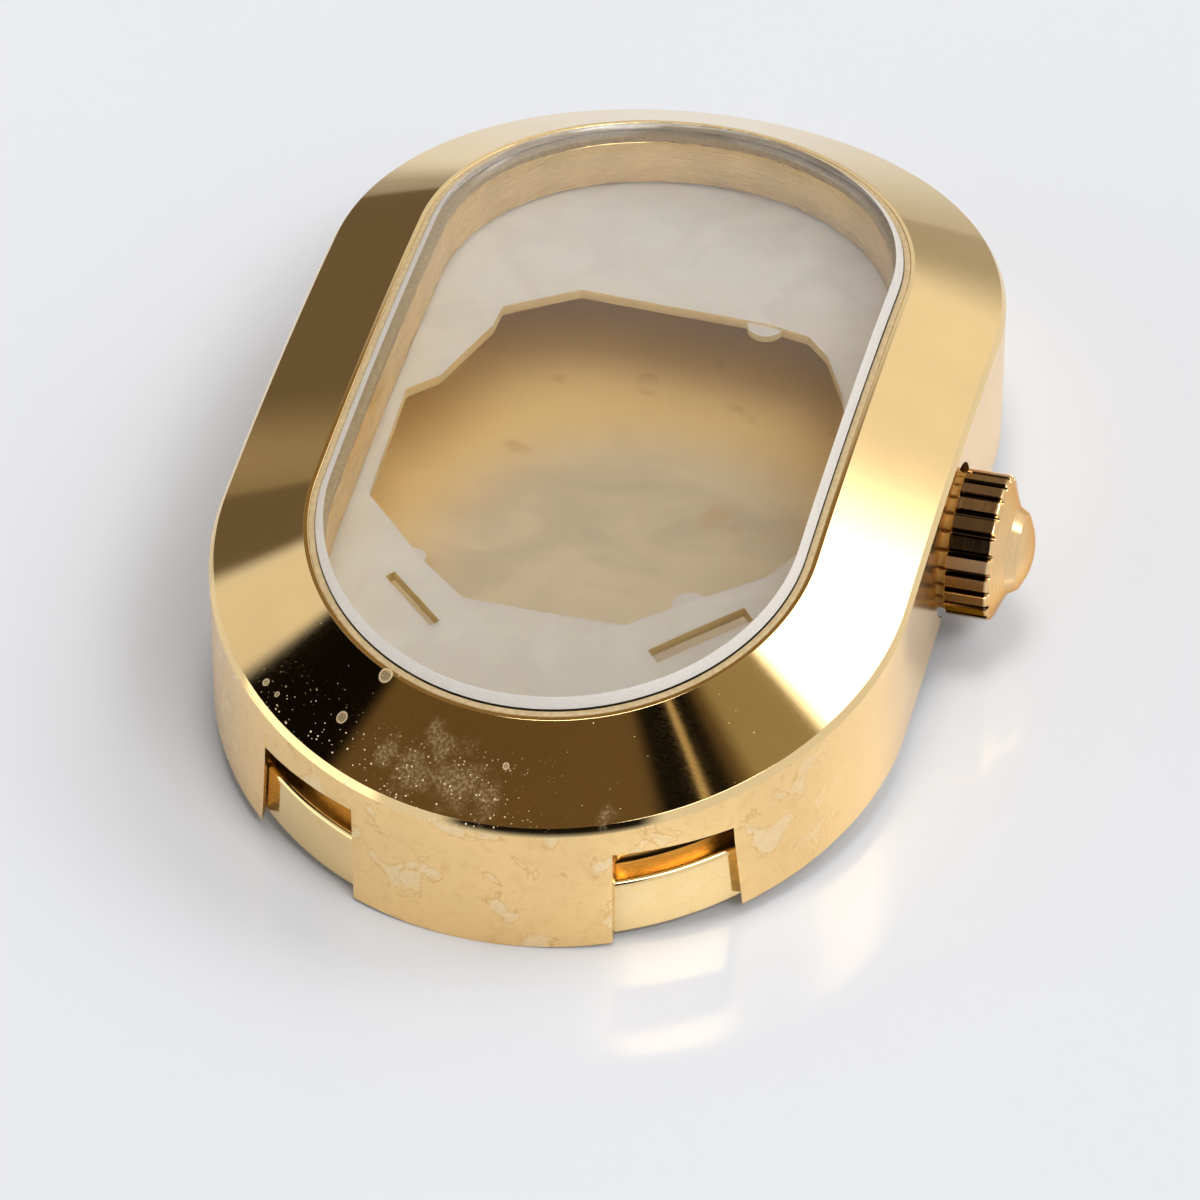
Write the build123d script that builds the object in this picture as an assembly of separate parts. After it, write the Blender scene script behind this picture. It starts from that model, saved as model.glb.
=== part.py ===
from build123d import *
import math
import os

os.makedirs("parts", exist_ok=True)

# Lengths in mm. The case lies on its back: +X is the crown side, +Y the twelve o'clock end, +Z up.
# The lowest points of the side wall, at both ends, are at Z = 0.

# Case outline: a straight-sided oval with semicircular ends, every inner outline is an inset of it.
case_half_width = 11.0
case_half_length = 17.5
cut_margin = 1.0

# Lengthwise curve of the case: the top and the back are parts of large cylinders across the case.
rim_height = 8.0
rim_curve_radius = 83.0
back_arch_height = 1.44
back_curve_radius = 106.0

# Bezel bevel and the narrow band that breaks the edge between bevel and side wall.
bevel_width = 2.96
bevel_drop = 1.37
bevel_round_width = 0.22

# Crystal seat in the rim.
rim_land_width = 0.15
gasket_wall = 0.2
gasket_foot_width = 0.35
gasket_foot_height = 0.25
crystal_proud = 0.3
crystal_thickness = 1.3
crystal_bevel = 0.25

# Inside of the case middle.
cavity_inset = 2.0
cavity_ceiling_depth = 2.9
wall_sheet = 0.3
skirt_clearance = 0.03
skirt_thickness = 0.8
skirt_height = 2.1
skirt_edge_break = 0.12
collar_clearance = 0.07
back_plate_thickness = 0.7
back_gasket_height = 0.5
back_gasket_side_gap = 0.05

# Notches and pockets for the bracelet prongs, two at each end.
notch_inner_x = 4.1
notch_width = 3.27
notch_top_height = 3.85
notch_flare = 0.3
pocket_depth = 1.25
pocket_side_reach = 0.25
pocket_corner_cut = 0.25

# Knife slot under the side wall opposite the crown.
knife_slot_length = 3.2
knife_slot_height = 0.35

# Crown recess and the key block that fills the gap of the skirt beside it.
crown_axis_height = 3.6
crown_recess_radius = 2.5
crown_recess_depth = 0.85
key_half_width = 2.7
key_side_clearance = 0.05

# Movement holder: a thin arched web with the movement's opening, on a wall that stands on the back.
# The shares place things across and along, of the holder's half width and half length.
holder_side_gap = 0.1
holder_web_thickness = 0.6
holder_wall_thickness = 0.8
holder_hole_shares = [
    (-0.32, -0.52), (0.265, -0.52), (0.42, -0.45), (0.69, -0.33), (0.785, -0.24), (0.79, 0.13),
    (0.74, 0.23), (0.635, 0.355), (0.545, 0.41), (0.395, 0.43), (-0.315, 0.445), (-0.565, 0.345),
    (-0.57, 0.28), (-0.68, 0.095), (-0.78, 0.035), (-0.765, -0.285), (-0.5, -0.44),
]
lug_shares = [(-0.54, -0.43), (0.465, -0.437), (0.375, 0.436)]
lug_radius = 0.6
lug_drop = 0.15
# Each slot also has its angle in degrees and its length as a share of the half width.
long_slot_shares = [(-0.49, -0.545, -41, 0.28), (0.525, -0.51, 43, 0.375)]
long_slot_width = 0.35
stem_channel_half_width = 0.6

# Crown, tube and stem, all about an axis along X.
crown_radius = 2.33
crown_gap = 0.1
crown_flute_length = 2.37
crown_rim_chamfer = 0.08
crown_dome_base_radius = 2.05
crown_dome_flank_radius = 1.05
crown_dome_flank_height = 0.62
crown_dome_height = 0.98
flute_count = 22
flute_side = 0.3
ring_groove_start = 0.58
ring_groove_width = 0.28
ring_groove_depth = 0.24
crown_bore_radius = 1.58
crown_bore_depth = 1.75
tube_outer_radius = 0.9
tube_bore_radius = 0.56
tube_length_share = 0.7
post_radius = 0.5
post_head_radius = 1.1
post_head_thickness = 0.35
stem_radius = 0.4
stem_inner_x = 6.6
stem_screw_depth = 0.8
stem_groove_radius = 0.28
stem_groove_start = 0.5
stem_groove_width = 0.35
crown_gasket_outer_gap = 0.08
crown_gasket_inner_gap = 0.07
crown_gasket_thickness = 0.56
washer_outer_gap = 0.03
washer_inner_gap = 0.04
washer_thickness = 0.25
washer_recess = 0.15

end_centre_offset = case_half_length - case_half_width
crown_face_x = case_half_width - crown_recess_depth
crown_inner_x = crown_face_x + crown_gap
cavity_wall_x = case_half_width - cavity_inset
crystal_inset = bevel_width + rim_land_width
skirt_outer_inset = wall_sheet + skirt_clearance
skirt_inner_inset = skirt_outer_inset + skirt_thickness
collar_outer_inset = skirt_inner_inset + collar_clearance
holder_inset = cavity_inset + holder_side_gap


def oval(inset, bottom, top):
    """Upright block whose outline is the case outline moved inwards by the inset."""
    outline = SlotCenterToCenter(2 * end_centre_offset, 2 * (case_half_width - inset), rotation=90)
    return extrude(Pos(0, 0, bottom) * outline, top - bottom)


def curve_body(height, radius):
    """Large cylinder across the case, its highest line at the given height."""
    return Pos(0, 0, height - radius) * Rot(0, 90, 0) * Cylinder(radius, 3 * case_half_width)


def below_rim(lift):
    """Everything below the curved top surface, moved up by the lift."""
    return curve_body(rim_height + lift, rim_curve_radius + lift)


def below_back(lift):
    """Everything below the curved back surface, moved up by the lift."""
    return curve_body(back_arch_height + lift, back_curve_radius + lift)


def back_layer(inset, low, high):
    """Oval layer between two surfaces that run parallel to the curved back."""
    block = oval(inset, -cut_margin, rim_height)
    return (block & below_back(high)) - below_back(low)


def on_crown_axis(shape):
    """Turn a shape made about Z so that it lies about the crown axis, Z becoming X."""
    return Pos(0, 0, crown_axis_height) * Rot(0, 90, 0) * shape


def rod(radius, start, end):
    """Round rod on the crown axis from one X to another."""
    return on_crown_axis(Pos(0, 0, (start + end) / 2) * Cylinder(radius, end - start))


def side_box(half_width, low_x, high_x, bottom, top):
    """Box on the crown side between two X and two heights, centred on the crown axis."""
    size_x = high_x - low_x
    return Pos(low_x + size_x / 2, 0, (bottom + top) / 2) * Box(size_x, 2 * half_width, top - bottom)


def bevelled_blank():
    """Solid case body with the curved top, the bevel and the narrow band below it."""
    blank = oval(0, -cut_margin, rim_height + cut_margin) & below_rim(0)
    blank -= below_back(0)
    top_face = blank.faces().sort_by(Axis.Z)[-1]
    blank = chamfer(top_face.edges(), bevel_width, bevel_drop, reference=top_face)
    low_line = rim_height - bevel_drop
    wall_edges = [
        edge for edge in blank.edges()
        if edge.bounding_box().max.Z < low_line + bevel_round_width
        and edge.bounding_box().min.Z > notch_top_height
    ]
    return chamfer(wall_edges, bevel_round_width)


def notch(side, end):
    """Prong notch through the side wall, its outer side flaring towards the bottom."""
    inner = side * notch_inner_x
    outer = side * (notch_inner_x + notch_width)
    outer_low = side * (notch_inner_x + notch_width + notch_flare)
    low = -cut_margin
    profile = make_face(Polyline(
        (inner, low), (outer_low, low), (outer, notch_top_height), (inner, notch_top_height), close=True))
    standing = Rot(90, 0, 0) * profile
    reach = case_half_length + cut_margin
    cutter = extrude(standing, reach, dir=(0, end, 0))
    return cutter - oval(wall_sheet, -2 * cut_margin, rim_height)


def pocket(side, end):
    """Pocket behind the notch, above the skirt of the back, its far corners cut off."""
    width = notch_width + 2 * pocket_side_reach
    centre_x = side * (notch_inner_x + notch_width / 2)
    box = Pos(centre_x, end * case_half_length / 2, notch_top_height / 2) * Box(
        width, case_half_length, notch_top_height)
    ring = oval(wall_sheet, 0, notch_top_height) - oval(pocket_depth, -cut_margin, rim_height)
    space = (box & ring) - below_back(skirt_height)
    upright_edges = space.edges().filter_by(Axis.Z)
    far_edges = sorted(upright_edges, key=lambda edge: math.hypot(
        edge.center().X, max(abs(edge.center().Y) - end_centre_offset, 0)))[:2]
    return chamfer(far_edges, pocket_corner_cut)


def build_case_middle():
    body = bevelled_blank()
    seat_floor = crystal_proud - crystal_thickness - gasket_foot_height
    seat = oval(crystal_inset, 0, rim_height + cut_margin) - below_rim(seat_floor)
    window_inset = crystal_inset + gasket_wall + gasket_foot_width
    body -= seat
    body -= oval(window_inset, -cut_margin, rim_height + cut_margin)
    body -= oval(cavity_inset, -cut_margin, rim_height) & below_rim(-cavity_ceiling_depth)
    slot = oval(wall_sheet, -cut_margin, rim_height) & below_back(skirt_height)
    slot -= oval(collar_outer_inset, -2 * cut_margin, rim_height + cut_margin)
    slot -= side_box(key_half_width, 0, 2 * case_half_width, -2 * cut_margin, rim_height)
    body -= slot
    plate_space = oval(wall_sheet, -cut_margin, rim_height)
    body -= plate_space & below_back(back_plate_thickness + back_gasket_height)
    for end in (-1, 1):
        for side in (-1, 1):
            body -= notch(side, end)
            body -= pocket(side, end)
    body -= rod(crown_recess_radius, crown_face_x, 2 * case_half_width)
    body -= rod(tube_outer_radius, 0, case_half_width)
    slot_top = back_arch_height + knife_slot_height
    knife = Box(2 * wall_sheet, knife_slot_length, 2 * slot_top)
    body -= Pos(-case_half_width, 0, 0) * knife
    return body


def build_crystal():
    inset = crystal_inset + gasket_wall
    glass = oval(inset, 0, rim_height + cut_margin) & below_rim(crystal_proud)
    glass -= below_rim(crystal_proud - crystal_thickness)
    top_face = glass.faces().sort_by(Axis.Z)[-1]
    return chamfer(top_face.edges(), crystal_bevel)


def build_crystal_gasket():
    low = crystal_proud - crystal_thickness - gasket_foot_height
    ring = oval(crystal_inset, 0, rim_height + cut_margin) & below_rim(0)
    ring -= below_rim(low)
    glass_space = oval(crystal_inset + gasket_wall, 0, rim_height + cut_margin)
    glass_space -= below_rim(low + gasket_foot_height)
    ring -= glass_space
    window_inset = crystal_inset + gasket_wall + gasket_foot_width
    return ring - oval(window_inset, -cut_margin, rim_height + cut_margin)


def build_case_back():
    plate = back_layer(skirt_outer_inset, 0, back_plate_thickness)
    skirt = back_layer(skirt_outer_inset, 0, skirt_height)
    top_face = skirt.faces().sort_by(Axis.Z)[-1]
    skirt = chamfer(top_face.edges(), skirt_edge_break)
    skirt -= oval(skirt_inner_inset, -cut_margin, rim_height)
    skirt -= side_box(key_half_width + key_side_clearance, 0, case_half_width, -cut_margin, rim_height)
    back = plate + skirt
    return back - rod(crown_recess_radius, crown_face_x, case_half_width)


def build_back_gasket():
    inset = collar_outer_inset + back_gasket_side_gap
    ring = back_layer(inset, back_plate_thickness, back_plate_thickness + back_gasket_height)
    return ring - oval(cavity_inset - back_gasket_side_gap, -cut_margin, rim_height)


def on_holder(across_share, along_share):
    """Place on the plan of the movement holder."""
    across = across_share * (case_half_width - holder_inset)
    return across, along_share * (case_half_length - holder_inset)


def build_movement_holder():
    below_web = below_rim(-cavity_ceiling_depth - holder_web_thickness)
    ring = oval(holder_inset, -cut_margin, rim_height) & below_rim(-cavity_ceiling_depth)
    ring -= below_back(back_plate_thickness)
    ring -= oval(holder_inset + holder_wall_thickness, -cut_margin, rim_height) & below_web
    outline = Polyline(*[on_holder(*shares) for shares in holder_hole_shares], close=True)
    ring -= extrude(make_face(outline), rim_height)
    lug_layer = below_rim(-cavity_ceiling_depth - lug_drop) - below_web
    for shares in lug_shares:
        x, y = on_holder(*shares)
        lug = Pos(x, y, rim_height / 2) * Cylinder(lug_radius, rim_height)
        ring += lug & lug_layer
    for across_share, along_share, angle, length_share in long_slot_shares:
        x, y = on_holder(across_share, along_share)
        length = length_share * (case_half_width - holder_inset)
        ring -= Pos(x, y, rim_height) * Rot(0, 0, angle) * Box(length, long_slot_width, 2 * rim_height)
    channel_top = crown_axis_height + stem_channel_half_width
    return ring - side_box(stem_channel_half_width, 0, case_half_width, -cut_margin, channel_top)


def build_crown_tube():
    end_x = crown_inner_x + tube_length_share * crown_bore_depth
    tube = rod(tube_outer_radius, cavity_wall_x, end_x)
    return tube - rod(tube_bore_radius, 0, case_half_width + crown_flute_length)


def crown_profile():
    """Half section of the crown cap, radius along X and length along the crown axis as Y."""
    rim = crown_flute_length
    flank = rim + crown_dome_flank_height
    tip = rim + crown_dome_height
    dome_radius = ((tip - flank) ** 2 + crown_dome_flank_radius ** 2) / (2 * (tip - flank))
    halfway = crown_dome_flank_radius / 2
    near_tip = tip - dome_radius + math.sqrt(dome_radius ** 2 - halfway ** 2)
    outer = Polyline(
        (0, tip), (0, crown_bore_depth), (crown_bore_radius, crown_bore_depth), (crown_bore_radius, 0),
        (crown_radius, 0), (crown_radius, rim - crown_rim_chamfer),
        (crown_radius - crown_rim_chamfer, rim), (crown_dome_base_radius, rim),
        (crown_dome_flank_radius, flank))
    dome = ThreePointArc((crown_dome_flank_radius, flank), (halfway, near_tip), (0, tip))
    return make_face(Curve() + [outer, dome])


def build_crown():
    cap = revolve(Rot(90, 0, 0) * crown_profile(), Axis.Z)
    groove_middle = ring_groove_start + ring_groove_width / 2
    groove = Cylinder(crown_radius + cut_margin, ring_groove_width)
    groove -= Cylinder(crown_radius - ring_groove_depth, 2 * ring_groove_width)
    cap -= Pos(0, 0, groove_middle) * groove
    flute = Pos(crown_radius, 0, 0) * Rot(0, 0, 45) * Box(flute_side, flute_side, 2 * crown_flute_length)
    cap -= [Rot(0, 0, 360 / flute_count * number) * flute for number in range(flute_count)]
    return on_crown_axis(Pos(0, 0, crown_inner_x) * cap)


def build_crown_post():
    seat_x = crown_inner_x + crown_bore_depth
    head = rod(post_head_radius, seat_x - post_head_thickness, seat_x)
    post = head + rod(post_radius, crown_inner_x, seat_x)
    return post - rod(stem_radius, 0, crown_inner_x + stem_screw_depth)


def build_stem():
    stem = rod(stem_radius, stem_inner_x, crown_inner_x + stem_screw_depth)
    start = stem_inner_x + stem_groove_start
    groove = rod(2 * stem_radius, start, start + stem_groove_width)
    return stem - (groove - rod(stem_groove_radius, 0, case_half_width))


def build_crown_gasket():
    start = crown_inner_x + washer_recess + washer_thickness
    ring = rod(crown_bore_radius - crown_gasket_outer_gap, start, start + crown_gasket_thickness)
    return ring - rod(tube_outer_radius + crown_gasket_inner_gap, 0, 2 * case_half_width)


def build_crown_washer():
    start = crown_inner_x + washer_recess
    washer = rod(crown_bore_radius - washer_outer_gap, start, start + washer_thickness)
    return washer - rod(tube_outer_radius + washer_inner_gap, 0, 2 * case_half_width)


builders = {
    "case_middle": build_case_middle,
    "crystal": build_crystal,
    "crystal_gasket": build_crystal_gasket,
    "case_back": build_case_back,
    "back_gasket": build_back_gasket,
    "movement_holder": build_movement_holder,
    "crown_tube": build_crown_tube,
    "crown": build_crown,
    "crown_post": build_crown_post,
    "stem": build_stem,
    "crown_gasket": build_crown_gasket,
    "crown_washer": build_crown_washer,
}

for name, builder in builders.items():
    export_step(builder(), f"parts/{name}.step")
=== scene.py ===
import math

import bpy
from bpy.props import FloatProperty, FloatVectorProperty, IntProperty, PointerProperty
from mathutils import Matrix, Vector


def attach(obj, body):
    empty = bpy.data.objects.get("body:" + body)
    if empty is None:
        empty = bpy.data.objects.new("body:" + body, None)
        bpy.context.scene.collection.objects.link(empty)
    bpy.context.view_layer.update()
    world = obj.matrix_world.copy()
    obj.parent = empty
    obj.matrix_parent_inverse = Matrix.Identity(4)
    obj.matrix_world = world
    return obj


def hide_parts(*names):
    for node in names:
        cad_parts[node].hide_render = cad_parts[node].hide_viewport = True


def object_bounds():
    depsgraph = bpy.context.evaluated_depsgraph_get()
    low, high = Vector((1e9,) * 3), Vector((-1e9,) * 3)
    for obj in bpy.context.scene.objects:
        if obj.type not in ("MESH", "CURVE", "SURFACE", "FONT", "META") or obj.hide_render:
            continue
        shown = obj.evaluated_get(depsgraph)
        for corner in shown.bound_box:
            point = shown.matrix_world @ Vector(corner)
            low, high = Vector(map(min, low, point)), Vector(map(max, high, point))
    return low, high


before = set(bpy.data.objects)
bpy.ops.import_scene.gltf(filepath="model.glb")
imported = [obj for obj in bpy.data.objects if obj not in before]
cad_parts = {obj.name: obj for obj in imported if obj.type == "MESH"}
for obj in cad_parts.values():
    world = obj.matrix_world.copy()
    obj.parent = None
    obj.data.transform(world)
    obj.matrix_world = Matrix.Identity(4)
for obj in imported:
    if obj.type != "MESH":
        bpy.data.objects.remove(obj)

bl_info = {
    "name": "Watch case modeller",
    "version": (1, 0, 0),
    "blender": (4, 5, 0),
    "location": "3D View > Sidebar > Watch Case",
    "description": "Models an empty oval watch case with its glass, back, movement ring and crown",
    "category": "Add Mesh",
}

MM = 0.001
CAD_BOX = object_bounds()
MERGE_GAP = 0.0005 * MM
BUMP_DEPTH = 0.02 * MM


# Properties

def length(millimetres, description):
    """Length property with its default in millimetres."""
    return FloatProperty(
        description=description, default=millimetres * MM, unit="LENGTH", subtype="DISTANCE")


def colour(rgb, description):
    """Linear colour property."""
    return FloatVectorProperty(
        description=description, default=rgb, size=3, min=0, max=1, subtype="COLOR")


class CaseSizes(bpy.types.PropertyGroup):
    """Sizes of the case, its glass and its back, heights taken on the middle line of the case."""
    half_width: length(11.0, "Centre line to the side wall")
    half_length: length(17.5, "Centre to the end of the case")
    rim_height: length(8.0, "Highest line of the bezel")
    rim_curve: length(83.0, "Radius of the lengthwise curve of the top")
    back_height: length(1.44, "Height of the lower edge at the middle of the case")
    back_curve: length(106.0, "Radius of the lengthwise curve of the back")
    bevel_width: length(2.96, "Width of the sloping bezel")
    bevel_drop: length(1.37, "Height that the bezel falls")
    band_width: length(0.145, "Narrow facet between bezel and side wall")
    band_drop: length(0.157, "How far the narrow facet reaches down the side wall")
    edge_round: length(0.03, "Rounding of the polished edges")
    land_width: length(0.15, "Flat land between bezel and gasket")
    gasket_wall: length(0.2, "Thickness of the glass gasket")
    gasket_foot: length(0.35, "Width of the gasket's foot under the glass")
    gasket_foot_height: length(0.25, "Thickness of the gasket's foot")
    glass_proud: length(0.3, "Height of the glass above the rim")
    glass_thickness: length(1.3, "Thickness of the glass")
    glass_bevel: length(0.24, "Bevel round the glass")
    glass_gap: length(0.02, "Air between the glass and its gasket")
    cavity_inset: length(2.0, "Side wall to the movement space")
    ceiling_height: length(5.1, "Height of the seat above the movement ring")
    wall_sheet: length(0.3, "Thickness of the wall outside the back's skirt")
    skirt_gap: length(0.03, "Clearance outside the skirt")
    skirt_thickness: length(0.8, "Thickness of the back's skirt")
    skirt_height: length(2.1, "Height of the skirt above the back face")
    skirt_round: length(0.17, "Rounding of the skirt's upper edge")
    collar_gap: length(0.07, "Clearance inside the skirt")
    plate_thickness: length(0.7, "Thickness of the back plate")
    back_round: length(0.12, "Rounding of the back's lower edge")
    gasket_height: length(0.5, "Height of the gasket on the back plate")
    notch_inner: length(4.1, "Centre line to the near side of a notch")
    notch_width: length(3.27, "Width of a notch")
    notch_top: length(3.85, "Height of the upper edge of a notch")
    notch_flare: length(0.3, "Widening of a notch at its lower end")
    pocket_depth: length(1.25, "Side wall to the back of a pocket")
    pocket_reach: length(0.25, "How far a pocket is wider than its notch")
    pocket_round: length(0.3, "Rounding of a pocket's far corners")
    knife_length: length(3.2, "Length of the opening slot under the wall")
    knife_height: length(0.35, "Height of the opening slot")


class CrownSizes(bpy.types.PropertyGroup):
    """Sizes of the crown and of what it sits in."""
    axis_height: length(3.6, "Height of the crown's axis")
    recess_radius: length(2.5, "Radius of the recess in the side wall")
    recess_depth: length(0.85, "Depth of the recess")
    key_half_width: length(2.7, "Half width of the block in the skirt's gap")
    radius: length(2.33, "Outer radius of the crown")
    gap: length(0.1, "Gap between crown and case")
    flute_length: length(2.37, "Length of the fluted barrel")
    flutes: IntProperty(description="Number of flutes", default=22, min=8)
    flute_depth: length(0.2, "Depth of a flute")
    groove_share: FloatProperty(description="Half width of a flute as a share of the pitch", default=0.165)
    bead_depth: length(0.1, "How far the beads in the ring groove are rounded")
    ring_start: length(0.53, "Start of the ring groove from the inner face")
    ring_width: length(0.42, "Width of the ring groove")
    ring_depth: length(0.16, "Depth of the ring groove")
    dome_base: length(2.05, "Radius of the barrel's outer face")
    boss_radius: length(1.42, "Radius at the foot of the raised boss")
    boss_foot: length(0.3, "Height of the boss's foot")
    cap_radius: length(1.22, "Radius where the boss turns into its domed cap")
    cap_foot: length(0.64, "Height of the cap's edge")
    boss_round: length(0.12, "Rounding at the foot and the shoulder of the boss")
    dome_height: length(0.98, "Height of the boss's middle above the barrel")
    bore_radius: length(1.58, "Radius of the hollow in the crown")
    bore_depth: length(1.75, "Depth of the hollow")
    tube_radius: length(0.9, "Outer radius of the crown tube")


class RingSizes(bpy.types.PropertyGroup):
    """Sizes of the moulded movement ring."""
    side_gap: length(0.1, "Clearance round the ring")
    web_thickness: length(0.35, "Thickness of the ring's arched top")
    wall_thickness: length(0.8, "Thickness of the wall that stands on the back")
    top_round: length(0.1, "Rounding of the ring's outer upper edge")
    hole_round: length(0.2, "Rounding of the hole's corners")
    lug_drop: length(0.08, "How far the lugs lie below the top")
    channel_half: length(0.6, "Half width of the channel for the stem")


class Finishes(bpy.types.PropertyGroup):
    """Colours of the finishes."""
    gold: colour((0.93, 0.69, 0.34), "Yellow gold plating of bezel and back")
    wall: colour((0.98, 0.68, 0.31), "Deeper gold of the side wall")
    inside: colour((0.84, 0.7, 0.48), "Matt gold inside the back")
    # Painted light: warm light bounced off the gold walls, painted round the edges of the back's inside.
    amber: colour((1.0, 0.74, 0.34), "Warmer tone round the back's inside")
    rose: colour((0.92, 0.64, 0.33), "Slightly redder gold of the crown")
    # Painted shade: the recess behind the crown is given a dark brown for the shade that falls in it.
    recess: colour((0.3, 0.17, 0.07), "Shaded gold of the recess behind the crown")
    # Painted shade: the crown's barrel is given dark browns, darker on its lower side, nearly black flutes
    # and dark gaps between the beads.
    barrel: colour((0.32, 0.2, 0.1), "Upper side of the crown's barrel")
    barrel_low_shade: colour((0.17, 0.08, 0.022), "Lower side of the crown's barrel")
    flute: colour((0.03, 0.017, 0.007), "Depth of the flutes")
    bead: colour((0.82, 0.46, 0.12), "Beads in the crown's ring groove")
    bead_gap_shade: colour((0.25, 0.11, 0.02), "Gaps between the beads")
    film: colour((0.93, 0.8, 0.56), "Dried film and dust on the gold")
    tide: colour((0.72, 0.42, 0.16), "Thin darker lines round the dried film")
    plastic: colour((1.0, 0.88, 0.74), "Milky moulded plastic")
    # Painted light and shade: the openings' upright edges take a darker amber for their shade and for light
    # bounced off the gold.
    gold_lit_plastic: colour((0.88, 0.66, 0.36), "Edges of the ring's openings, lit by the gold")
    gasket: colour((0.58, 0.44, 0.24), "Nylon gasket round the glass")
    rubber: colour((0.02, 0.02, 0.022), "Rubber gaskets")
    brass: colour((0.80, 0.62, 0.33), "Crown tube")
    steel: colour((0.55, 0.55, 0.56), "Stem")
    floor: colour((0.705, 0.74, 0.80), "Pale glossy table top")


class StudioSettings(bpy.types.PropertyGroup):
    """Camera and floor of the studio."""
    azimuth: FloatProperty(
        description="Camera from the front towards the crown side", default=math.radians(14.05),
        subtype="ANGLE")
    elevation: FloatProperty(
        description="Camera above the floor", default=math.radians(42.36), subtype="ANGLE")
    distance: length(268.3, "Camera to the point that it looks at")
    target: FloatVectorProperty(
        description="Point that the camera looks at",
        default=(0.7284 * MM, -4.7835 * MM, 3.0 * MM), subtype="TRANSLATION", unit="LENGTH")
    focal_share: FloatProperty(
        description="Focal length as a share of the sensor's width", default=8554.25 / 1200)
    floor_size: length(2400.0, "Side of the square floor")
    brightness: FloatProperty(description="Level of the studio light", default=1.0, min=0)


# Modelling helpers

def merge_all():
    """Selects all in edit mode and merges the doubles."""
    bpy.ops.mesh.select_all(action="SELECT")
    bpy.ops.mesh.remove_doubles(threshold=MERGE_GAP)


def start_piece(name):
    """Deselects all and starts a piece as a plane merged to one vertex, left in edit mode."""
    bpy.ops.object.select_all(action="DESELECT")
    bpy.ops.mesh.primitive_plane_add(size=MM)
    piece = bpy.context.active_object
    piece.name = name
    piece.data.name = name
    bpy.ops.object.mode_set(mode="EDIT")
    bpy.ops.mesh.merge(type="CENTER")
    return piece


def draw(points, closed=True):
    """Moves the single vertex to the first point and extrudes it along the others."""
    here = Vector(points[0])
    bpy.ops.transform.translate(value=here)
    route = list(points[1:]) + ([points[0]] if closed else [])
    for point in route:
        step = Vector(point) - here
        bpy.ops.mesh.extrude_vertices_move(TRANSFORM_OT_translate={"value": step})
        here = Vector(point)
    merge_all()


def rounded(corners, segments=4):
    """Points of a section whose corners (across, up, rounding) are turned into short arcs."""
    points = []
    count = len(corners)
    for index, (across, up, rounding) in enumerate(corners):
        here = Vector((across, up))
        if rounding <= 0:
            points.append(here)
            continue
        before = (Vector(corners[index - 1][:2]) - here).normalized()
        after = (Vector(corners[(index + 1) % count][:2]) - here).normalized()
        half_turn = before.angle(after) / 2
        reach = rounding / math.tan(half_turn)
        centre = here + (before + after).normalized() * (rounding / math.sin(half_turn))
        first = here + before * reach - centre
        last = here + after * reach - centre
        sweep = first.angle_signed(last)
        for number in range(segments + 1):
            turn = -sweep * number / segments
            arm = Vector((
                first.x * math.cos(turn) - first.y * math.sin(turn),
                first.x * math.sin(turn) + first.y * math.cos(turn)))
            points.append(centre + arm)
    return points


def pick(piece, test):
    """Selects in edit mode the vertices whose place passes the test."""
    bpy.ops.mesh.select_mode(type="VERT")
    bpy.ops.mesh.select_all(action="DESELECT")
    bpy.ops.object.mode_set(mode="OBJECT")
    for vertex in piece.data.vertices:
        vertex.select = test(vertex.co)
    bpy.ops.object.mode_set(mode="EDIT")


def paint(piece, materials, choose):
    """Gives the piece its materials, each face the one that choose(centre, normal) numbers."""
    for material in materials:
        piece.data.materials.append(material)
    for face in piece.data.polygons:
        face.material_index = choose(face.center, face.normal)


def apply(piece, kind, **settings):
    """Adds a modifier with these settings and applies it."""
    bpy.context.view_layer.objects.active = piece
    modifier = piece.modifiers.new(kind, kind)
    for key, value in settings.items():
        setattr(modifier, key, value)
    bpy.ops.object.modifier_apply(modifier=modifier.name)


def carve(piece, tool, operation="DIFFERENCE"):
    """Cuts the tool from the piece, or joins it to it, and deletes the tool."""
    apply(piece, "BOOLEAN", object=tool, operation=operation, solver="EXACT")
    bpy.data.objects.remove(tool)


def smooth(piece, degrees=32):
    """Smooth shading with creases at the sharp edges, the large faces kept flat."""
    bpy.ops.object.select_all(action="DESELECT")
    piece.select_set(True)
    bpy.context.view_layer.objects.active = piece
    bpy.ops.object.shade_smooth_by_angle(angle=math.radians(degrees))
    apply(piece, "WEIGHTED_NORMAL", keep_sharp=True, weight=100)


def finish_piece(piece, body, slot, *nodes):
    """Ties the finished piece to its body and hides the nodes that it stands for; the slot is not used."""
    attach(piece, body)
    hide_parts(*nodes)


def solid_tool(name, add, **settings):
    """Plain solid from a primitive's operator, its place, turn and size applied."""
    bpy.ops.object.select_all(action="DESELECT")
    add(**settings)
    bpy.ops.object.transform_apply(location=True, rotation=True, scale=True)
    tool = bpy.context.active_object
    tool.name = name
    return tool


def box_tool(name, low, high):
    """Block between two corners."""
    low, high = Vector(low), Vector(high)
    return solid_tool(
        name, bpy.ops.mesh.primitive_cube_add, size=1, location=(low + high) / 2, scale=high - low)


def rod_tool(name, radius, start, end, height):
    """Round rod along X at a height."""
    return solid_tool(
        name, bpy.ops.mesh.primitive_cylinder_add, vertices=96, radius=radius, depth=end - start,
        location=((start + end) / 2, 0, height), rotation=(0, math.pi / 2, 0))


def sag(curve, y):
    """Height at y of a lengthwise curve of this radius, against its middle."""
    return math.sqrt(curve ** 2 - y * y) - curve


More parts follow.
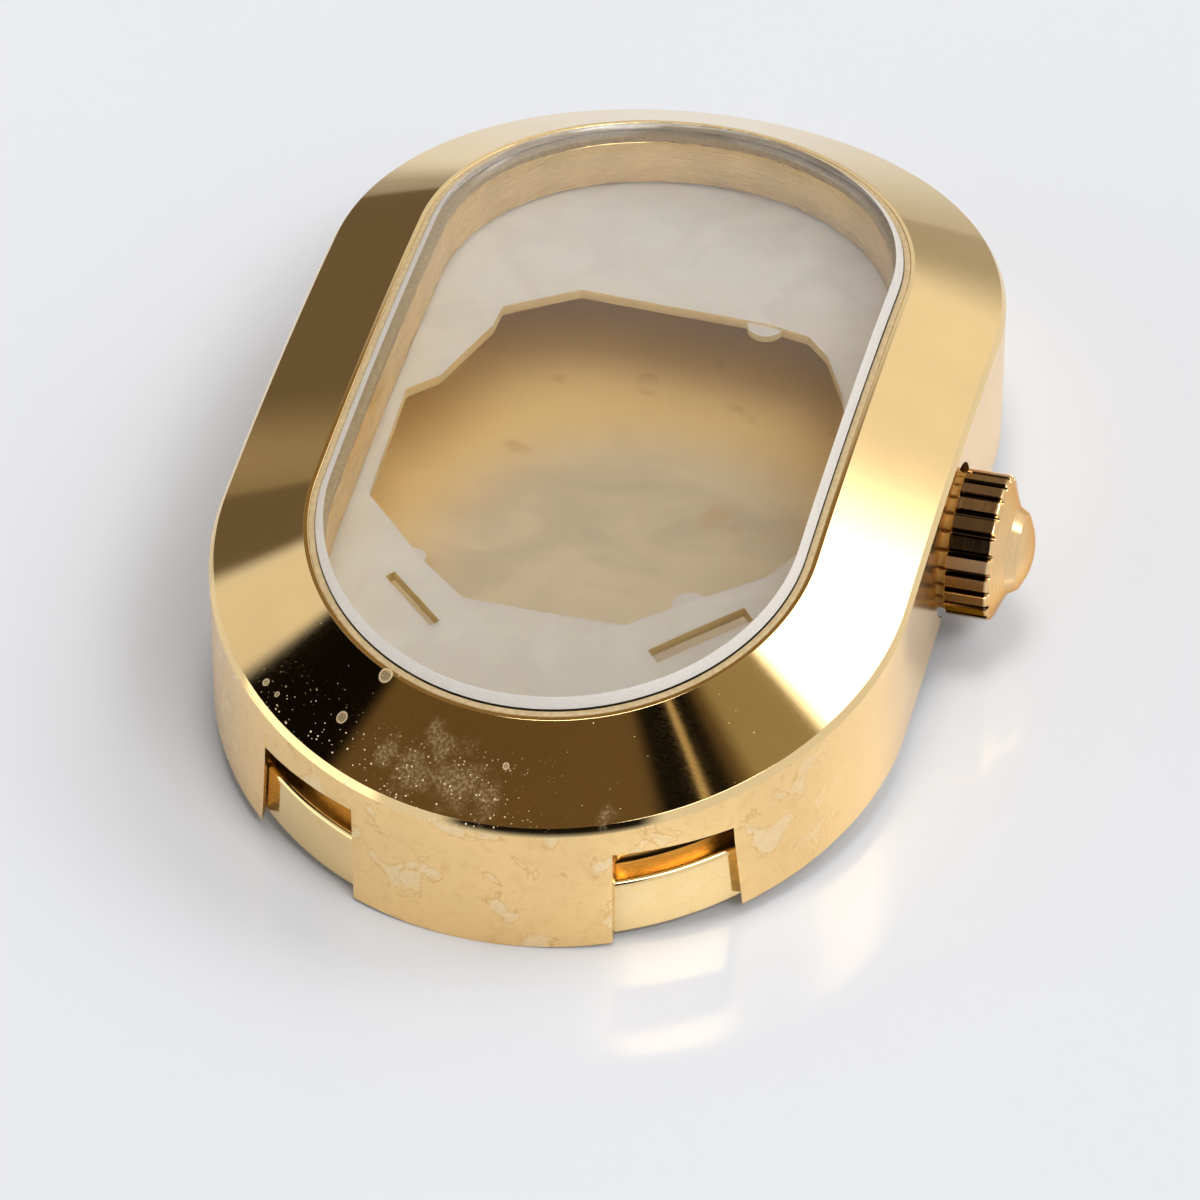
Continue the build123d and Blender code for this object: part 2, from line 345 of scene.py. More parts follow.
def arch(piece, sizes):
    """Bends the piece lengthwise: what lies above the skirt follows the top, the rest the back."""
    skirt_top = sizes.back_height + sizes.skirt_height + 5 * sizes.edge_round
    for vertex in piece.data.vertices:
        curve = sizes.rim_curve if vertex.co.z > skirt_top else sizes.back_curve
        vertex.co.z += sag(curve, vertex.co.y)


def inset_at(sizes, place):
    """Distance of a place inwards from the outline of the side wall."""
    end = sizes.half_length - sizes.half_width
    return sizes.half_width - math.hypot(place.x, max(abs(place.y) - end, 0))


def oval_piece(name, sizes, section, closed=True, steps=96, straights=8):
    """Oval ring or plate: a section of (inset, height) spun round one end, extended and mirrored."""
    end = sizes.half_length - sizes.half_width
    piece = start_piece(name)
    draw([(sizes.half_width - inset, end, height) for inset, height in section], closed)
    bpy.ops.mesh.spin(steps=steps, angle=-math.pi, center=(0, end, 0), axis=(0, 0, 1))
    merge_all()
    pick(piece, lambda place: abs(place.y - end) < MERGE_GAP)
    for _ in range(straights):
        bpy.ops.mesh.extrude_edges_move(TRANSFORM_OT_translate={"value": (0, -end / straights, 0)})
    bpy.ops.object.mode_set(mode="OBJECT")
    apply(piece, "MIRROR", use_axis=(False, True, False), merge_threshold=MERGE_GAP)
    tidy(piece)
    arch(piece, sizes)
    return piece


def tidy(piece):
    """Merges doubles and turns all the faces outwards."""
    bpy.context.view_layer.objects.active = piece
    bpy.ops.object.mode_set(mode="EDIT")
    merge_all()
    bpy.ops.mesh.normals_make_consistent(inside=False)
    bpy.ops.object.mode_set(mode="OBJECT")


def lathe_piece(name, section, height, steps):
    """Turned piece about an axis along X at a height, from a section of (x, radius)."""
    piece = start_piece(name)
    draw([(x, 0, height + radius) for x, radius in section], closed=True)
    bpy.ops.mesh.spin(steps=steps, angle=2 * math.pi, center=(0, 0, height), axis=(1, 0, 0))
    bpy.ops.object.mode_set(mode="OBJECT")
    tidy(piece)
    return piece


def wall_outline(sizes, corners, pitch=0.3 * MM):
    """Plan outline along the end wall from corners of (x, inset, rounding), its long sides divided."""
    end = sizes.half_length - sizes.half_width
    plan = rounded(corners)
    outline = []
    for first, last in zip(plan, plan[1:] + plan[:1]):
        steps = max(1, round(abs(last.x - first.x) / pitch))
        for number in range(steps):
            x, inset = first.lerp(last, number / steps)
            outline.append((x, -end - math.sqrt((sizes.half_width - inset) ** 2 - x * x)))
    return outline


def upright_tool(name, outline, bottom, top):
    """Upright block over a plan outline, for cutting."""
    tool = start_piece(name)
    draw([(x, y, bottom) for x, y in outline])
    bpy.ops.mesh.edge_face_add()
    bpy.ops.mesh.extrude_region_move(TRANSFORM_OT_translate={"value": (0, 0, top - bottom)})
    bpy.ops.object.mode_set(mode="OBJECT")
    tidy(tool)
    return tool


def four_times(tool):
    """Repeats a tool on both sides and at both ends of the case."""
    apply(tool, "MIRROR", use_axis=(True, True, False), use_mirror_merge=False)
    tidy(tool)
    return tool


# Material helpers

def feed(item, inputs):
    """Links or sets inputs of a node."""
    for key, value in inputs.items():
        if isinstance(value, bpy.types.NodeSocket):
            item.id_data.links.new(value, item.inputs[key])
        else:
            item.inputs[key].default_value = value


def node(kind, inputs, **settings):
    """Adds a node to the tree of its first linked input, sets it up, and links or sets its inputs."""
    source = next(value for value in inputs.values() if isinstance(value, bpy.types.NodeSocket))
    item = source.id_data.nodes.new(kind)
    for key, value in settings.items():
        setattr(item, key, value)
    feed(item, inputs)
    return item


def look(recipe):
    """Turns a recipe for the shader's inputs, given the node tree, into a maker of named materials."""
    def make(name, *values):
        material = bpy.data.materials.new(name)
        material.use_nodes = True
        tree = material.node_tree
        feed(tree.nodes["Principled BSDF"], recipe(tree, *values))
        return material
    return make


def place(tree, scale=(1, 1, 1), turn=(0, 0, 0), shift=(0, 0, 0)):
    """Object coordinates in millimetres, stretched, turned and shifted."""
    coordinates = tree.nodes.new("ShaderNodeTexCoord").outputs["Object"]
    millimetres = node("ShaderNodeMapping", {"Vector": coordinates, "Scale": (1 / MM,) * 3})
    shaped = node("ShaderNodeMapping", {
        "Vector": millimetres.outputs[0], "Scale": scale, "Rotation": turn, "Location": shift})
    return shaped.outputs[0]


def flat_place(tree):
    """Object coordinates in millimetres without their height."""
    return node("ShaderNodeVectorMath", {0: place(tree), 1: (1, 1, 0)}, operation="MULTIPLY").outputs[0]


def noise(vector, scale, detail=3.0, distortion=0.0):
    """Noise value between about 0 and 1."""
    return node("ShaderNodeTexNoise", {
        "Vector": vector, "Scale": scale, "Detail": detail, "Distortion": distortion}).outputs["Fac"]


def calc(operation, first, second=0.0, clamp=False):
    """One arithmetic step on values."""
    step = node("ShaderNodeMath", {0: first, 1: second}, operation=operation, use_clamp=clamp)
    return step.outputs[0]


def apart(first, second):
    """Absolute difference of two values."""
    return calc("ABSOLUTE", calc("SUBTRACT", first, second))


def span(value, low, high, to_low=0.0, to_high=1.0, kind="SMOOTHSTEP"):
    """Maps a value from one span to another, held at the ends."""
    return node("ShaderNodeMapRange", {
        "Value": value, "From Min": low, "From Max": high, "To Min": to_low, "To Max": to_high},
        interpolation_type=kind).outputs[0]


def blend(share, first, second):
    """Mixes two colours by a share."""
    return node("ShaderNodeMix", {0: share, 6: first, 7: second}, data_type="RGBA").outputs[2]


def rgba(value, factor=1.0):
    """Colour with full cover, made lighter or darker."""
    return tuple(channel * factor for channel in value) + (1.0,)


def shades(pattern, tint, darker, low=0.3, high=0.7):
    """Colour that follows a pattern from a darker shade up to the tint."""
    return blend(span(pattern, low, high), rgba(tint, darker), rgba(tint))


def split(vector):
    """The three parts of a vector."""
    return node("ShaderNodeSeparateXYZ", {0: vector}).outputs


def bump(height, strength):
    """Normal disturbed by a height."""
    return node("ShaderNodeBump", {
        "Height": height, "Strength": strength, "Distance": BUMP_DEPTH}).outputs[0]


def dust(tree, per_mm, smallest, largest, share):
    """Mask of small round specks of these radii in mm, a share of the cells holding one each."""
    cells = node("ShaderNodeTexVoronoi", {"Vector": place(tree), "Scale": per_mm})
    chance = split(cells.outputs["Color"])
    reach = span(chance[0], 0.0, 1.0, smallest * per_mm, largest * per_mm, "LINEAR")
    inside = calc("SUBTRACT", reach, cells.outputs["Distance"])
    dot = span(inside, 0.0, SPECK_EDGE * per_mm)
    kept = calc("LESS_THAN", chance[1], share)
    return calc("MULTIPLY", dot, kept)


# Marks near the six o'clock end, in mm: dried drops and ragged patches as x, y and radius, the middles of
# the speckled zone and of the back's paler part, the soft edge of a speck and a distance past them all.
DROPS = [
    (-3.75, -13.71, 0.24), (-4.83, -14.89, 0.19), (-7.55, -13.77, 0.12), (-7.09, -14.16, 0.09),
    (0.55, -15.78, 0.11),
]
PATCHES = [
    (-1.75, -15.3, 0.36), (-1.5, -15.72, 0.42), (-0.9, -16.4, 0.8), (0.1, -16.7, 0.5), (-2.3, -16.3, 0.6),
    (3.8, -16.42, 0.3), (-3.2, -15.9, 0.4),
]
SPECK_MIDDLE = (-3.2, -15.9, 1.0)
BACK_MIDDLE = (1.5, -3.5, 1.0)
SPECK_EDGE = 0.012
FAR_OFF = 9.0


def nearest(flat, spots):
    """Distance in plan to the nearest spot, as a share of its radius."""
    least = FAR_OFF
    for x, y, radius in spots:
        off = node("ShaderNodeVectorMath", {0: flat, 1: (x, y, 0)}, operation="DISTANCE")
        least = calc("MINIMUM", least, calc("DIVIDE", off.outputs["Value"], radius))
    return least


def drop_marks(flat):
    """Mask of the dried marks: round drops with a stronger rim, and pitted patches with ragged edges."""
    inner = 0.8
    off = nearest(flat, DROPS)
    drops = span(off, 1.0, inner, 0.0, 0.25)
    rim = span(apart(off, inner), 0.2, 0.0, 0.0, 0.3)
    ragged = calc("MULTIPLY", noise(flat, 1.8, 4.0), 3.0)
    off = calc("ADD", nearest(flat, PATCHES), ragged)
    pits = span(noise(flat, 10.0, 2.0), 0.42, 0.62, 0.25, 1.0)
    patches = calc("MULTIPLY", span(off, 2.9, 1.7, 0.0, 0.2), pits)
    return calc("MAXIMUM", calc("ADD", drops, rim), patches)


def speck_marks(tree, flat):
    """Mask of fine specks, thickest along the bezel's outer edge left of the six o'clock end."""
    _, y, height = split(place(tree))
    clouds = span(noise(flat, 0.5, 2.0), 0.42, 0.6, 0.2, 1.0)
    crowd = calc("MULTIPLY", span(y, -8.0, -13.0), clouds)
    few = calc("MULTIPLY", dust(tree, 4.5, 0.008, 0.03, 0.6), crowd)
    zone = span(nearest(flat, [SPECK_MIDDLE]), 6.5, 2.5)
    low_zone = calc("MULTIPLY", zone, span(height, 6.4, 5.4))
    many = calc("MULTIPLY", dust(tree, 7.0, 0.01, 0.04, 0.9), low_zone)
    return calc("MULTIPLY", calc("MAXIMUM", few, many), 0.8)


def tide_marks(tree, share):
    """Dried film near the six o'clock end: its pale patches, and the thin lines round them with grain."""
    level = 0.57
    near_end = span(split(place(tree))[1], -9.0, -14.5, 0.0, share)
    field = noise(place(tree), 0.7, 7.0, 0.7)
    patch = calc("MULTIPLY", span(field, level, 0.63, 0.0, 0.6), near_end)
    grain = noise(place(tree, shift=(5.0, 2.0, 0.0)), 2.6, 6.0, 0.4)
    lines = calc(
        "MAXIMUM", span(apart(field, level), 0.016, 0.0, 0.0, 0.9),
        span(grain, 0.48, 0.68, 0.0, 0.3))
    return patch, calc("MULTIPLY", lines, near_end)


@look
def gold_material(tree, gold, finishes, roughness, film_share=0.0, grain=0.0):
    """Plated gold with fine polish marks and dried film; without film it has the bezel's drops and specks."""
    metal = shades(noise(place(tree), 0.35, 2.0), gold, 0.95)
    marks = noise(place(tree, (0.6, 14.0, 14.0), (0.3, 0.2, 0.5)), 1.6, 4.0)
    polish = span(marks, 0.35, 0.75, roughness * 0.8, roughness * 1.35, "LINEAR")
    if film_share:
        cover, line = tide_marks(tree, film_share)
        dullness = 0.2
        metal = blend(line, blend(cover, metal, rgba(finishes.film)), rgba(finishes.tide))
        metallic = 1.0
    else:
        flat = flat_place(tree)
        cover = calc("MAXIMUM", drop_marks(flat), speck_marks(tree, flat), clamp=True)
        dullness = 0.45
        metal = blend(cover, metal, rgba(finishes.film))
        metallic = span(cover, 0.0, 1.0, 1.0, 0.1, "LINEAR")
    return {
        "Base Color": metal, "Metallic": metallic,
        "Roughness": calc("ADD", polish, calc("MULTIPLY", cover, dullness)),
        "Normal": bump(marks, 0.005 + grain * 0.04)}


@look
def mottled_material(tree, gold, amber, stain):
    """Matt gold of the back's inside: soft clouds of tone and gloss, stains, amber away from its middle as
    painted light bounced off the gold walls.
    """
    cloud = noise(place(tree, (1.0, 1.6, 1.0), (0, 0, 0.3)), 0.22, 2.5, 0.8)
    metal = shades(cloud, gold, 0.86, 0.35, 0.65)
    # Painted light: the amber away from the middle stands in for light bounced off the gold walls.
    outside = span(nearest(flat_place(tree), [BACK_MIDDLE]), 5.0, 9.0)
    spots = span(noise(place(tree, shift=(3.0, 1.0, 0.0)), 0.55, 2.0), 0.62, 0.74, 0.0, 0.4)
    gloss = noise(place(tree, (1.0, 2.2, 1.0), (0, 0, -0.2)), 0.4, 3.0, 0.5)
    return {
        "Base Color": blend(spots, blend(outside, metal, rgba(amber)), rgba(stain)),
        "Metallic": 0.2, "Roughness": span(gloss, 0.35, 0.65, 0.5, 0.62),
        "Normal": bump(gloss, 0.05)}


@look
def brushed_material(tree, gold, roughness, direction):
    """Gold with fine straight brush lines."""
    lines = noise(place(tree, direction), 3.0, 5.0)
    return {
        "Base Color": shades(noise(place(tree), 0.4, 3.0), gold, 0.88), "Metallic": 1.0,
        "Roughness": span(lines, 0.3, 0.7, roughness * 0.75, roughness * 1.3),
        "Normal": bump(lines, 0.25)}


@look
def plastic_material(tree, plastic):
    """Milky moulded plastic, a little see-through, with faint flow marks."""
    tone = noise(place(tree), 0.5, 3.0, 0.6)
    fine = noise(place(tree), 9.0, 3.0)
    return {
        "Base Color": shades(tone, plastic, 0.93, 0.35, 0.65),
        "Roughness": span(fine, 0.3, 0.7, 0.38, 0.52), "Normal": bump(fine, 0.08),
        "Subsurface Weight": 0.8, "Subsurface Radius": (1.0, 0.85, 0.65), "Subsurface Scale": 1.0 * MM,
        "IOR": 1.5}


@look
def glass_edge_highlight_material(tree):
    """Bevelled edge of the glass: rough, its whitish colour a painted highlight, only a little light coming
    through.
    """
    fine = noise(place(tree), 14.0, 3.0)
    return {
        "Base Color": blend(
            span(fine, 0.3, 0.7), rgba((0.76, 0.73, 0.69)), rgba((0.84, 0.81, 0.77))),
        "Roughness": span(fine, 0.3, 0.7, 0.4, 0.55), "Normal": bump(fine, 0.08),
        "Transmission Weight": 0.3}


@look
def crown_material(tree, finishes, crown, inner_x):
    """Turned gold of the crown with painted shade: brownish barrel, darker below, nearly black flutes, amber
    ring beads with dark gaps.
    """
    x, y, z = split(place(tree))
    rise = calc("SUBTRACT", z, crown.axis_height / MM)
    squares = calc("ADD", calc("MULTIPLY", y, y), calc("MULTIPLY", rise, rise))
    radius = calc("SQRT", squares)
    full = crown.radius / MM
    along = calc("SUBTRACT", x, inner_x / MM)
    rim = (crown.flute_length - crown.flute_depth) / MM
    middle = (crown.ring_start + crown.ring_width / 2) / MM
    in_ring = span(apart(along, middle), 0.235, 0.19)
    # Painted shade: darker on the barrel's lower side, nearly black in the flutes and dark between the beads.
    barrel_shade = blend(span(rise, 1.1, 0.2), rgba(finishes.barrel), rgba(finishes.barrel_low_shade))
    barrel_shade = blend(span(radius, full - 0.035, full - 0.1), barrel_shade, rgba(finishes.flute))
    amber = blend(span(radius, full - 0.19, full - 0.26), rgba(finishes.bead), rgba(finishes.bead_gap_shade))
    rings = noise(place(tree, (30.0, 0.6, 0.6)), 1.2, 4.0)
    metal = shades(rings, finishes.rose, 0.88)
    return {
        "Base Color": blend(
            span(along, rim + 0.12, rim), metal, blend(in_ring, barrel_shade, amber)),
        "Metallic": span(in_ring, 0.0, 1.0, 1.0, 0.45), "Specular Tint": (0.9, 0.64, 0.4, 1.0),
        "Roughness": span(rings, 0.3, 0.7, 0.1, 0.2), "Normal": bump(rings, 0.05)}


@look
def glass_material(tree):
    """Mineral glass, with the faintest smears in its gloss."""
    smear = noise(place(tree, (1.0, 0.4, 1.0), (0, 0, 0.5)), 0.5, 4.0, 1.0)
    return {
        "Roughness": span(smear, 0.45, 0.7, 0.0, 0.03), "Base Color": (1.0, 1.0, 1.0, 1.0),
        "Transmission Weight": 1.0, "IOR": 1.5}


@look
def soft_material(tree, tint, roughness, grain):
    """Nylon or rubber with a fine moulded grain."""
    fine = noise(place(tree), grain, 3.0)
    return {
        "Base Color": shades(fine, tint, 0.8),
        "Roughness": span(fine, 0.3, 0.7, roughness * 0.85, roughness * 1.15),
        "Normal": bump(fine, 0.1)}


@look
def turned_material(tree, tint, roughness):
    """Turned metal with fine rings across the crown's axis."""
    rings = noise(place(tree, (30.0, 0.6, 0.6)), 1.2, 4.0)
    return {
        "Base Color": shades(rings, tint, 0.85), "Metallic": 1.0,
        "Roughness": span(rings, 0.3, 0.7, roughness * 0.8, roughness * 1.3),
        "Normal": bump(rings, 0.2)}


@look
def table_material(tree, tint):
    """Pale glossy table top."""
    tone = noise(place(tree), 0.02, 3.0)
    return {"Base Color": shades(tone, tint, 0.985, 0.35, 0.65), "Roughness": 0.12, "IOR": 1.45}


# Studio

# Soft panels of the sky: azimuth from the front towards the crown side, elevation, half widths and
# softness in degrees, then colour and strength. Later panels cover earlier ones.
PANELS = {
    "ceiling": (5, 78, 120, 30, 9, (0.13, 0.085, 0.038), 1.0),
    "top light": (0, 90, 180, 10.5, 1.5, (1.0, 0.99, 0.97), 10.0),
    "front light": (48, 51, 24, 7, 4, (1.0, 0.99, 0.97), 9.0),
    "side glow": (138, 34, 26, 26, 9, (1.0, 0.96, 0.92), 0.95),
    "dull back": (178, 8, 14, 14, 5, (0.45, 0.43, 0.40), 1.0),
    "warm corner": (93, 62.5, 14, 10, 4, (0.32, 0.267, 0.15), 1.0),
    "dark back": (224.5, 14, 19, 20, 2.5, (0.15, 0.12, 0.085), 1.0),
    "thin light": (226, 20, 1.6, 6, 1.5, (0.32, 0.27, 0.2), 1.0),
    "left panel": (254.5, 38, 9.5, 26, 2, (0.80, 0.76, 0.72), 1.0),
    "left shade": (278.5, 50, 14.5, 18, 2.5, (0.004, 0.003, 0.002), 1.0),
    "low strip": (299, 8, 23, 9, 2.5, (1.0, 0.97, 0.92), 1.7),
    "front shade": (8, 30, 26, 18, 4, (0.01, 0.008, 0.006), 1.0),
    "right shade": (56, 72, 17, 7, 5, (0.004, 0.003, 0.002), 1.0),
    "thin streak": (59.5, 70, 1.7, 7, 0.8, (0.55, 0.42, 0.24), 1.0),
    "key light": (128, 49, 19, 15, 4.5, (1.0, 0.98, 0.95), 4.3),
    "upper back": (205, 60, 35, 22, 8, (0.24, 0.16, 0.08), 1.0),
}
ROOM_COLOUR = (0.80, 0.80, 0.83)


def sky_angles(tree):
    """Azimuth and elevation in degrees of the direction looked along."""
    x, y, z = split(tree.nodes.new("ShaderNodeTexCoord").outputs["Generated"])
    front = calc("MULTIPLY", y, -1.0)
    azimuth = calc("DEGREES", calc("ARCTAN2", x, front))
    return azimuth, calc("DEGREES", calc("ARCSINE", z))


def panel(angles, below, azimuth, elevation, half_width, half_height, softness, tint, strength):
    """Adds one soft panel over what is already in the sky."""
    turned = node("ShaderNodeMath", {
        0: calc("SUBTRACT", angles[0], azimuth), 1: 180.0, 2: -180.0}, operation="WRAP").outputs[0]
    across = span(calc("ABSOLUTE", turned), half_width + softness, half_width - softness)
    raised = apart(angles[1], elevation)
    along = span(raised, half_height + softness, half_height - softness)
    return blend(calc("MULTIPLY", across, along), below, rgba(tint, strength))


class WATCHCASE_OT_studio(bpy.types.Operator):
    """Builds the camera, the pale floor and the soft studio light"""
    bl_idname = "watch_case.studio"
    bl_label = "Studio"

    def execute(self, context):
        settings = context.scene.watch_case_studio
        self.add_camera(context.scene, settings)
        self.add_floor(context, settings)
        self.add_light(context.scene, settings)
        context.scene.view_settings.view_transform = "Standard"
        return {"FINISHED"}

    def add_camera(self, scene, settings):
        flat = settings.distance * math.cos(settings.elevation)
        offset = Vector((
            flat * math.sin(settings.azimuth), -flat * math.cos(settings.azimuth),
            settings.distance * math.sin(settings.elevation)))
        camera = bpy.data.objects.new("camera", bpy.data.cameras.new("camera"))
        camera.data.lens = camera.data.sensor_width * settings.focal_share
        camera.data.clip_start = settings.distance / 100
        camera.location = Vector(settings.target) + offset
        camera.rotation_euler = (-offset).to_track_quat("-Z", "Y").to_euler()
        scene.collection.objects.link(camera)
        scene.camera = camera

    def add_floor(self, context, settings):
        """The back rests on the floor, so the floor goes down with the back when it comes off."""
        bpy.ops.object.select_all(action="DESELECT")
        bpy.ops.mesh.primitive_plane_add(size=settings.floor_size, location=(0, 0, CAD_BOX[0][2]))
        floor = context.active_object
        floor.name = "floor"
        floor.data.materials.append(table_material("pale_table", context.scene.watch_case_finishes.floor))
        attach(floor, "back")

    def add_light(self, scene, settings):
        world = bpy.data.worlds.new("studio_sky")
        scene.world = world
        world.use_nodes = True
        tree = world.node_tree
        angles = sky_angles(tree)
        sky = tree.nodes.new("ShaderNodeRGB").outputs[0]
        sky.default_value = rgba(ROOM_COLOUR)
        for values in PANELS.values():
            sky = panel(angles, sky, *values)
        feed(tree.nodes["Background"], {"Color": sky, "Strength": settings.brightness})


# Case middle

def bezel_section(sizes):
    """Section of the case middle as (inset, height), from the foot of the wall round to it again."""
    edge = sizes.edge_round
    low_line = sizes.rim_height - sizes.bevel_drop
    slope = sizes.bevel_drop / sizes.bevel_width
    band_inset = sizes.band_width
    band_top = low_line + band_inset * slope
    seat_inset = sizes.bevel_width + sizes.land_width
    seat_floor = sizes.rim_height + sizes.glass_proud - sizes.glass_thickness - sizes.gasket_foot_height
    window = seat_inset + sizes.gasket_wall + sizes.gasket_foot
    slot_top = sizes.back_height + sizes.skirt_height
    collar = sizes.wall_sheet + sizes.skirt_gap + sizes.skirt_thickness + sizes.collar_gap
    collar_foot = sizes.back_height + sizes.plate_thickness + sizes.gasket_height
    corners = [
        (0.0, sizes.back_height, edge),
        (0.0, low_line - sizes.band_drop, edge),
        (band_inset, band_top, edge),
        (sizes.bevel_width, sizes.rim_height, edge),
        (seat_inset, sizes.rim_height, edge),
        (seat_inset, seat_floor, 0.0),
        (window, seat_floor, edge),
        (window, sizes.ceiling_height, 0.0),
        (sizes.cavity_inset, sizes.ceiling_height, 0.0),
        (sizes.cavity_inset, collar_foot, edge),
        (collar, collar_foot, edge),
        (collar, slot_top, 0.0),
        (sizes.wall_sheet, slot_top, 0.0),
        (sizes.wall_sheet, sizes.back_height, edge),
    ]
    return rounded(corners, 3)


def cut_notches(piece, sizes):
    """Cuts the four notches, their edges eased, and the pockets behind them."""
    near, far = sizes.notch_inner, sizes.notch_inner + sizes.notch_width
    outside, middle = -sizes.wall_sheet, (sizes.wall_sheet + sizes.pocket_depth) / 2
    ease = sizes.edge_round
    outline = wall_outline(sizes, [
        (near - ease, outside, 0.0), (far + ease, outside, 0.0), (far + ease, 0.0, 0.0),
        (far + ease / 3, ease / 3, 0.0), (far, ease, 0.0), (far, middle, 0.0),
        (near, middle, 0.0), (near, ease, 0.0), (near - ease / 3, ease / 3, 0.0), (near - ease, 0.0, 0.0)])
    notch = upright_tool("notch_tool", outline, 0.0, sizes.notch_top)
    for vertex in notch.data.vertices:
        if vertex.co.z < MERGE_GAP and vertex.co.x > far - MERGE_GAP:
            vertex.co.x += sizes.notch_flare
    carve(piece, four_times(notch))
    low_x, high_x = near - sizes.pocket_reach, far + sizes.pocket_reach
    outline = wall_outline(sizes, [
        (low_x, sizes.wall_sheet, 0.0), (high_x, sizes.wall_sheet, 0.0),
        (high_x, sizes.pocket_depth, sizes.pocket_round), (low_x, sizes.pocket_depth, sizes.pocket_round)])
    slot_top = sizes.back_height + sizes.skirt_height
    bottom = slot_top + sag(sizes.back_curve, sizes.half_length)
    carve(piece, four_times(upright_tool("pocket_tool", outline, bottom, sizes.notch_top)))


def case_finish(piece, sizes, crown, finishes):
    """Polished bezel, satin wall, plain inside, and a recess for the crown darkened with painted shade."""
    polished = gold_material("gold_polished", finishes.gold, finishes, 0.06)
    satin = gold_material("gold_satin", finishes.wall, finishes, 0.22, 0.7, 0.3)
    inside = brushed_material("gold_inside", finishes.gold, 0.28, (0.4, 0.4, 8.0))
    # Painted shade: the recess behind the crown gets a dark brown that stands in for its shade.
    recess = turned_material("gold_recess", finishes.recess, 0.3)
    recess_face = sizes.half_width - crown.recess_depth - MERGE_GAP
    wall_top = sizes.rim_height - sizes.bevel_drop - sizes.band_drop

    def choose(centre, normal):
        from_axis = math.hypot(centre.y, centre.z - crown.axis_height)
        if from_axis < crown.recess_radius + MERGE_GAP and centre.x > recess_face:
            return 3
        inset = inset_at(sizes, centre)
        if inset < sizes.edge_round and centre.z < wall_top + sag(sizes.rim_curve, centre.y):
            return 1
        if inset < sizes.bevel_width + sizes.land_width / 2 and centre.z > sizes.notch_top:
            return 0
        return 2

    paint(piece, [polished, satin, inside, recess], choose)


def cut_recess(piece, sizes, crown):
    """Cuts the round recess for the crown; returns where its face lies along X."""
    face = sizes.half_width - crown.recess_depth
    outside = sizes.half_width + face
    carve(piece, rod_tool("recess_tool", crown.recess_radius, face, outside, crown.axis_height))
    return face


class WATCHCASE_OT_case_middle(bpy.types.Operator):
    """Models the case middle with its bezel, notches, pockets and crown recess"""
    bl_idname = "watch_case.case_middle"
    bl_label = "Case middle"

    def execute(self, context):
        sizes = context.scene.watch_case_sizes
        crown = context.scene.watch_case_crown
        piece = oval_piece("case_shell", sizes, bezel_section(sizes))
        foot = sizes.back_height + sizes.plate_thickness + sizes.gasket_height
        slot_top = sizes.back_height + sizes.skirt_height
        key_reach = 1.6 * sizes.skirt_thickness
        key = box_tool(
            "key_tool", (sizes.half_width - key_reach, -crown.key_half_width, foot),
            (sizes.half_width - sizes.wall_sheet / 2, crown.key_half_width, slot_top + sizes.wall_sheet))
        carve(piece, key, "UNION")
        cut_notches(piece, sizes)
        face = cut_recess(piece, sizes, crown)
        carve(piece, rod_tool("tube_tool", crown.tube_radius, face / 2, 2 * face, crown.axis_height))
        knife_top = sizes.back_height + sizes.knife_height
        carve(piece, box_tool(
            "knife_tool", (-sizes.half_width - sizes.wall_sheet, -sizes.knife_length / 2, -knife_top),
            (-sizes.half_width + sizes.wall_sheet, sizes.knife_length / 2, knife_top)))
        tidy(piece)
        case_finish(piece, sizes, crown, context.scene.watch_case_finishes)
        smooth(piece)
        finish_piece(piece, "case", "case_gold", "case_middle")
        return {"FINISHED"}


# Glass and gasket

class WATCHCASE_OT_glass(bpy.types.Operator):
    """Models the curved glass and the gasket round it"""
    bl_idname = "watch_case.glass"
    bl_label = "Glass and gasket"

    def execute(self, context):
        sizes = context.scene.watch_case_sizes
        finishes = context.scene.watch_case_finishes
        seat = sizes.bevel_width + sizes.land_width
        edge = seat + sizes.gasket_wall
        side = edge + sizes.glass_gap
        top = sizes.rim_height + sizes.glass_proud
        foot = top - sizes.glass_thickness
        underside = foot + sizes.glass_gap
        corners = [
            (sizes.half_width, top, 0.0),
            (side + sizes.glass_bevel, top, sizes.edge_round),
            (side, top - sizes.glass_bevel, sizes.edge_round),
            (side, underside, sizes.edge_round),
            (sizes.half_width, underside, 0.0),
        ]
        glass = oval_piece("glass", sizes, rounded(corners, 3), closed=False)
        looks = [glass_material("mineral_glass"), glass_edge_highlight_material("glass_edge_highlight")]
        level, upright = 0.93, 0.3
        # Painted highlight: the glass's sloping faces take a whitish rough material for the bright line along
        # its edge.
        paint(glass, looks, lambda centre, normal: 1 if upright < abs(normal.z) < level else 0)
        smooth(glass)
        finish_piece(glass, "case", "mineral_glass", "crystal")
        low = foot - sizes.gasket_foot_height
        lip = edge + sizes.gasket_foot
        corners = [
            (seat, low, 0.0),
            (seat, sizes.rim_height, sizes.edge_round),
            (edge, sizes.rim_height, sizes.edge_round),
            (edge, foot, 0.0),
            (lip, foot, sizes.edge_round),
            (lip, low, sizes.edge_round),
        ]
        gasket = oval_piece("glass_gasket", sizes, rounded(corners, 3))
        gasket.data.materials.append(soft_material("nylon", finishes.gasket, 0.35, 6.0))
        smooth(gasket)
        finish_piece(gasket, "case", "gasket_nylon", "crystal_gasket")
        return {"FINISHED"}


# Back

